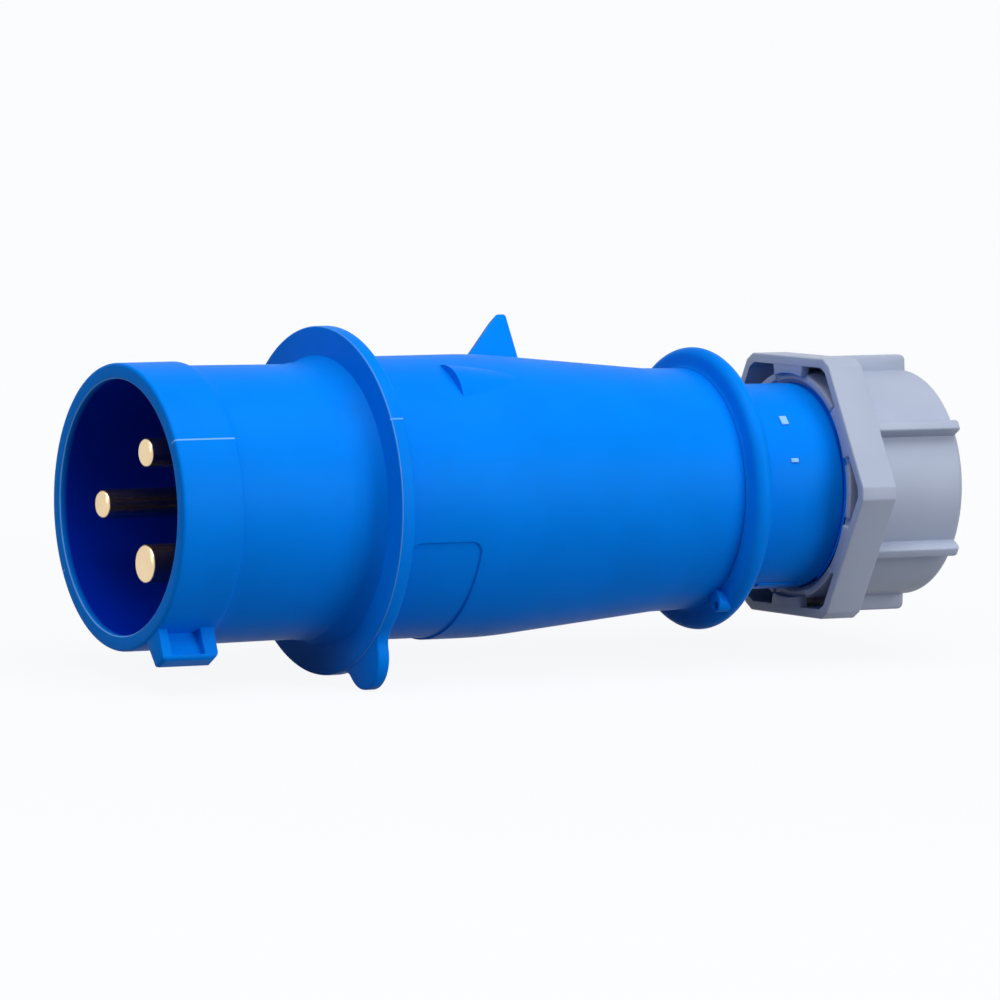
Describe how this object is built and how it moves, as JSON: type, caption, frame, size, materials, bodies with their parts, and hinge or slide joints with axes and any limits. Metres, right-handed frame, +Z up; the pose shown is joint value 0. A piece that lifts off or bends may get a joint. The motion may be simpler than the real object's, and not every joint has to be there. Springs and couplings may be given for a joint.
{
  "type": "industrial pin and sleeve plug",
  "caption": "Cable-mounted industrial pin and sleeve plug: keyed shroud round its contact pins, hand guard flange, tapered handle and a gland nut that grips the cable.",
  "frame": {"origin": "on the surface that the plug lies on, under the middle of its length and under its axis", "axes": "+X along the plug's axis towards the cable end, the shroud's mouth at -X; +Z up; the guide key and the flange's ear point down and towards -Y"},
  "size_m": [0.186, 0.071, 0.071],
  "materials": {
    "blue_plastic": "satin moulded polyamide with a fine mould texture",
    "grey_plastic": "satin moulded polyamide, cool grey",
    "dark_plastic": "satin, moulded insulator",
    "contact_brass": "turned, plain",
    "plated_steel": "zinc plated",
    "black_rubber": "matt"
  },
  "bodies": {
    "housing": {"front_housing": "blue_plastic", "rear_housing": "blue_plastic", "housing_seal": "black_rubber", "front_insulator": "dark_plastic", "rear_insulator": "dark_plastic", "insulator_screw": "plated_steel", "carrier_screws": "plated_steel", "line_pin": "contact_brass", "neutral_pin": "contact_brass", "earth_pin": "contact_brass", "cable_grommet": "black_rubber", "clamp_cage": "grey_plastic"},
    "ring": {"thrust_ring": "grey_plastic"},
    "nut": {"gland_nut": "grey_plastic"},
    "line_plate": {"line_clamp": "plated_steel"},
    "line_terminal_screw": {"line_screw": "plated_steel"},
    "neutral_plate": {"neutral_clamp": "plated_steel"},
    "neutral_terminal_screw": {"neutral_screw": "plated_steel"},
    "earth_plate": {"earth_clamp": "plated_steel"},
    "earth_terminal_screw": {"earth_screw": "plated_steel"}
  },
  "joints": [
    {"name": "nut_travel", "type": "slide", "parent": "housing", "child": "ring", "axis": [-1, 0, 0], "range_m": [-0.006, 0.003]},
    {"name": "nut_turn", "type": "hinge", "parent": "ring", "child": "nut", "pos_m": [0.08, 0, 0.0355], "axis": [-1, 0, 0], "range_deg": [-720, 360]},
    {"name": "line_clamp_travel", "type": "slide", "parent": "housing", "child": "line_plate", "axis": [0, 0.4094, -0.9124], "range_m": [0, 0.0034]},
    {"name": "line_screw_turn", "type": "hinge", "parent": "line_plate", "child": "line_terminal_screw", "pos_m": [-0.023, -0.00528, 0.04727], "axis": [0, 0.4094, -0.9124], "range_deg": [0, 1530]},
    {"name": "neutral_clamp_travel", "type": "slide", "parent": "housing", "child": "neutral_plate", "axis": [0, -0.9948, 0.1016], "range_m": [0, 0.0034]},
    {"name": "neutral_screw_turn", "type": "hinge", "parent": "neutral_plate", "child": "neutral_terminal_screw", "pos_m": [-0.023, 0.01283, 0.03419], "axis": [0, -0.9948, 0.1016], "range_deg": [0, 1530]},
    {"name": "earth_clamp_travel", "type": "slide", "parent": "housing", "child": "earth_plate", "axis": [0, 0.5854, 0.8107], "range_m": [0, 0.0034]},
    {"name": "earth_screw_turn", "type": "hinge", "parent": "earth_plate", "child": "earth_terminal_screw", "pos_m": [-0.023, -0.00755, 0.02504], "axis": [0, 0.5854, 0.8107], "range_deg": [0, 1530]}
  ],
  "couplings": [
    {"joint": "nut_travel", "follows": "nut_turn", "m_per_rad": 0.00047746},
    {"joint": "line_screw_turn", "follows": "line_clamp_travel", "rad_per_m": 7854},
    {"joint": "neutral_screw_turn", "follows": "neutral_clamp_travel", "rad_per_m": 7854},
    {"joint": "earth_screw_turn", "follows": "earth_clamp_travel", "rad_per_m": 7854}
  ]
}
